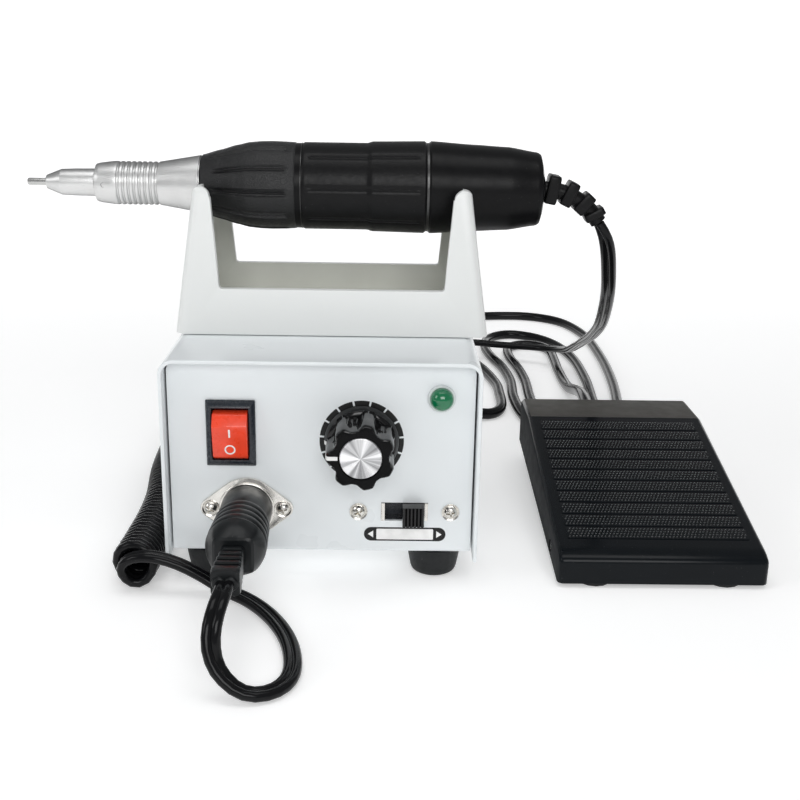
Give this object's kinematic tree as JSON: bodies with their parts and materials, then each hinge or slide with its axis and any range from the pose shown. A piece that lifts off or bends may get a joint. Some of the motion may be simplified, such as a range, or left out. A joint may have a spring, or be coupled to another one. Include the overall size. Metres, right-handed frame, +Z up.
{
  "type": "dental lab micromotor",
  "caption": "White control box with a handpiece in a moulded cradle on top, joined by a curly cord, and a black foot pedal on its own cord.",
  "frame": {"origin": "on the bench top, under the middle of the box that holds the control box, cradle, handpiece and pedal without the free cords", "axes": "+X to the right seen from the front panel, +Y to the back, +Z up"},
  "size_m": [0.239, 0.4304, 0.1324],
  "materials": {
    "white_enamel": "satin enamel on sheet steel",
    "cradle_white": "satin moulded plastic",
    "black_plastic": "satin moulded plastic",
    "gloss_black": "glossy moulded plastic",
    "slate_plastic": "satin moulded plastic",
    "red_plastic": "glossy moulded plastic",
    "green_lens": "clear tinted plastic",
    "clear_plastic": "glossy moulded plastic",
    "nickel": "bright nickel plate",
    "aluminium": "satin turned metal",
    "steel": "ground steel",
    "copper": "lacquered copper wire",
    "brass": "bare metal",
    "iron": "dark laminated iron",
    "rubber": "matt rubber",
    "board_green": "green laminate",
    "carbon": "pressed carbon",
    "cord_black": "glossy cord jacket"
  },
  "bodies": {
    "root": {"chassis": "white_enamel", "cover": "white_enamel", "foot_front_left": "rubber", "foot_front_right": "rubber", "foot_rear_left": "rubber", "foot_rear_right": "rubber", "transformer_core": "iron", "transformer_winding": "copper", "circuit_board": "board_green", "smoothing_capacitor": "slate_plastic", "rocker_housing": "slate_plastic", "potentiometer": "nickel", "lamp_bezel": "clear_plastic", "lamp_lens": "green_lens", "direction_switch": "slate_plastic", "slide_screw_left": "nickel", "slide_screw_right": "nickel", "socket_screw_left": "nickel", "socket_screw_right": "nickel", "handpiece_socket": "nickel", "motor_plug": "rubber", "fuse_holder": "black_plastic", "pedal_jack": "nickel", "pedal_plug": "rubber", "mains_gland": "rubber", "cradle": "cradle_white", "handpiece_cord": "cord_black", "curly_cord": "cord_black", "plug_cord": "cord_black", "pedal_cord": "cord_black", "pedal_base": "black_plastic", "pedal_pin": "steel", "pedal_spring": "steel", "pedal_switch": "slate_plastic", "pedal_gland": "rubber"},
    "rocker": {"rocker": "red_plastic"},
    "knob": {"pot_shaft": "steel", "speed_knob": "gloss_black", "knob_cap": "aluminium"},
    "lever": {"direction_lever": "black_plastic"},
    "handpiece": {"nose_sleeve": "aluminium", "front_bearing": "steel", "motor_can": "aluminium", "ring_magnet": "iron", "rear_bearing": "steel", "brush_holder": "slate_plastic", "brush_lower": "carbon", "brush_upper": "carbon", "grip_shell": "black_plastic", "rear_housing": "black_plastic", "strain_relief": "black_plastic"},
    "chuck": {"chuck_sleeve": "black_plastic"},
    "spindle_set": {"bur_shank": "steel", "collet": "steel", "spindle": "steel", "armature": "copper", "commutator": "brass"},
    "treadle": {"treadle": "gloss_black"},
    "plunger": {"pedal_plunger": "red_plastic"},
    "fuse_cap": {"fuse_cap": "black_plastic"}
  },
  "joints": [
    {"name": "rocker_tilt", "type": "hinge", "parent": "root", "child": "rocker", "pos_m": [-0.0489, -0.05285, 0.04885], "axis": [1, 0, 0], "range_deg": [-22, 0]},
    {"name": "speed_turn", "type": "hinge", "parent": "root", "child": "knob", "pos_m": [-0.0091, -0.06235, 0.0466], "axis": [0, 1, 0], "range_deg": [-60, 240]},
    {"name": "direction_slide", "type": "slide", "parent": "root", "child": "lever", "axis": [1, 0, 0], "range_m": [-0.0053, 0]},
    {"name": "handpiece_lift", "type": "slide", "parent": "root", "child": "handpiece", "axis": [0, 0, 1], "range_m": [0, 0.08]},
    {"name": "chuck_twist", "type": "hinge", "parent": "handpiece", "child": "chuck", "pos_m": [-0.0463, -0.00475, 0.1175], "axis": [1, 0, 0], "range_deg": [0, 40]},
    {"name": "spindle_spin", "type": "hinge", "parent": "handpiece", "child": "spindle_set", "pos_m": [-0.0463, -0.00475, 0.1175], "axis": [1, 0, 0], "continuous": true},
    {"name": "treadle_press", "type": "hinge", "parent": "root", "child": "treadle", "pos_m": [0.08615, -0.04015, 0.0058], "axis": [-1, 0, 0], "range_deg": [0, 3], "stiffness_Nm_per_rad": 2, "springref_deg": -8.59, "deforming": ["pedal_spring"]},
    {"name": "plunger_slide", "type": "slide", "parent": "root", "child": "plunger", "axis": [0, 0, -1], "range_m": [0, 0.0022]},
    {"name": "fuse_cap_turn", "type": "hinge", "parent": "root", "child": "fuse_cap", "pos_m": [-0.0513, 0.06565, 0.0605], "axis": [0, 1, 0], "range_deg": [0, 90]}
  ],
  "couplings": [
    {"joint": "plunger_slide", "follows": "treadle_press", "m_per_rad": 0.041}
  ]
}
